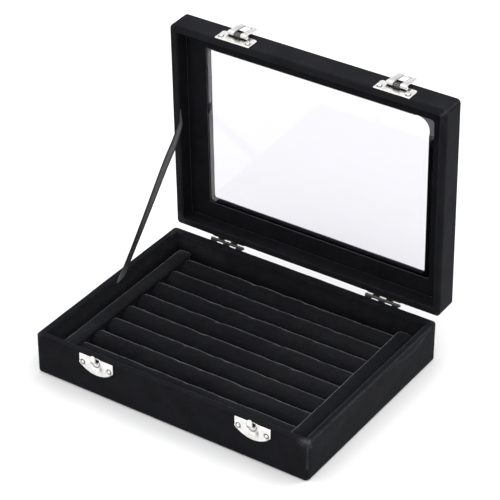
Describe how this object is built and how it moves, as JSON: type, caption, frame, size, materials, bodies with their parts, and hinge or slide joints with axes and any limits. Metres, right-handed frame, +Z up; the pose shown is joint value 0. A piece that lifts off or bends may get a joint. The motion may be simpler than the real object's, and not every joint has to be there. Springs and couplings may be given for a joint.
{
  "type": "ring display box",
  "caption": "Velvet display box with a hinged glass lid on a ribbon stay, front hasps, and a tray of soft rolls that hold rings.",
  "frame": {"origin": "middle of the underside of the base", "axes": "+X to the right, +Y to the back where the hinges are, +Z up"},
  "size_m": [0.2, 0.1736, 0.184],
  "materials": {
    "black_velvet": "velvet",
    "tray_velvet": "velvet over foam",
    "fibreboard": "raw fibreboard",
    "bottom_paper": "flocked paper",
    "clear_glass": "clear",
    "nickel_plate": "nickel plate",
    "hinge_steel": "nickel plate",
    "grey_ribbon": "satin ribbon"
  },
  "bodies": {
    "base": {"base_bottom_board": "fibreboard", "base_front_board": "fibreboard", "base_back_board": "fibreboard", "base_left_board": "fibreboard", "base_right_board": "fibreboard", "base_velvet_cover": "black_velvet", "base_velvet_lining": "black_velvet", "base_bottom_sheet": "bottom_paper", "tray_board": "fibreboard", "ring_roll_1": "tray_velvet", "ring_roll_2": "tray_velvet", "ring_roll_3": "tray_velvet", "ring_roll_4": "tray_velvet", "ring_roll_5": "tray_velvet", "ring_roll_6": "tray_velvet", "ring_roll_7": "tray_velvet", "ring_roll_8": "tray_velvet", "side_rail_left": "tray_velvet", "side_rail_right": "tray_velvet", "keeper_left": "nickel_plate", "keeper_right": "nickel_plate", "latch_nails_base": "nickel_plate", "hinge_left_base_leaf": "hinge_steel", "hinge_right_base_leaf": "hinge_steel", "hinge_left_pin": "hinge_steel", "hinge_right_pin": "hinge_steel", "hinge_nails_base": "hinge_steel", "ribbon_stay": "grey_ribbon"},
    "lid": {"lid_front_board": "fibreboard", "lid_back_board": "fibreboard", "lid_left_board": "fibreboard", "lid_right_board": "fibreboard", "lid_top_board": "fibreboard", "lid_velvet_cover": "black_velvet", "lid_velvet_lining": "black_velvet", "glass_pane": "clear_glass", "lid_inner_frame": "black_velvet", "hinge_left_lid_leaf": "hinge_steel", "hinge_right_lid_leaf": "hinge_steel", "hinge_nails_lid": "hinge_steel", "lid_plate_left": "nickel_plate", "lid_plate_right": "nickel_plate", "latch_nails_lid": "nickel_plate", "hasp_left_pin": "nickel_plate", "hasp_right_pin": "nickel_plate"},
    "left_hasp": {"hasp_left": "nickel_plate"},
    "right_hasp": {"hasp_right": "nickel_plate"}
  },
  "joints": [
    {"name": "lid_hinge", "type": "hinge", "parent": "base", "child": "lid", "pos_m": [0, 0.07675, 0.028], "axis": [1, 0, 0], "range_deg": [0, 88.2], "deforming": ["ribbon_stay"]},
    {"name": "left_hasp_hinge", "type": "hinge", "parent": "lid", "child": "left_hasp", "pos_m": [-0.053, 0.0797, 0.18242], "axis": [1, 0, 0], "range_deg": [0, 188]},
    {"name": "right_hasp_hinge", "type": "hinge", "parent": "lid", "child": "right_hasp", "pos_m": [0.0615, 0.0797, 0.18242], "axis": [1, 0, 0], "range_deg": [0, 188]}
  ]
}
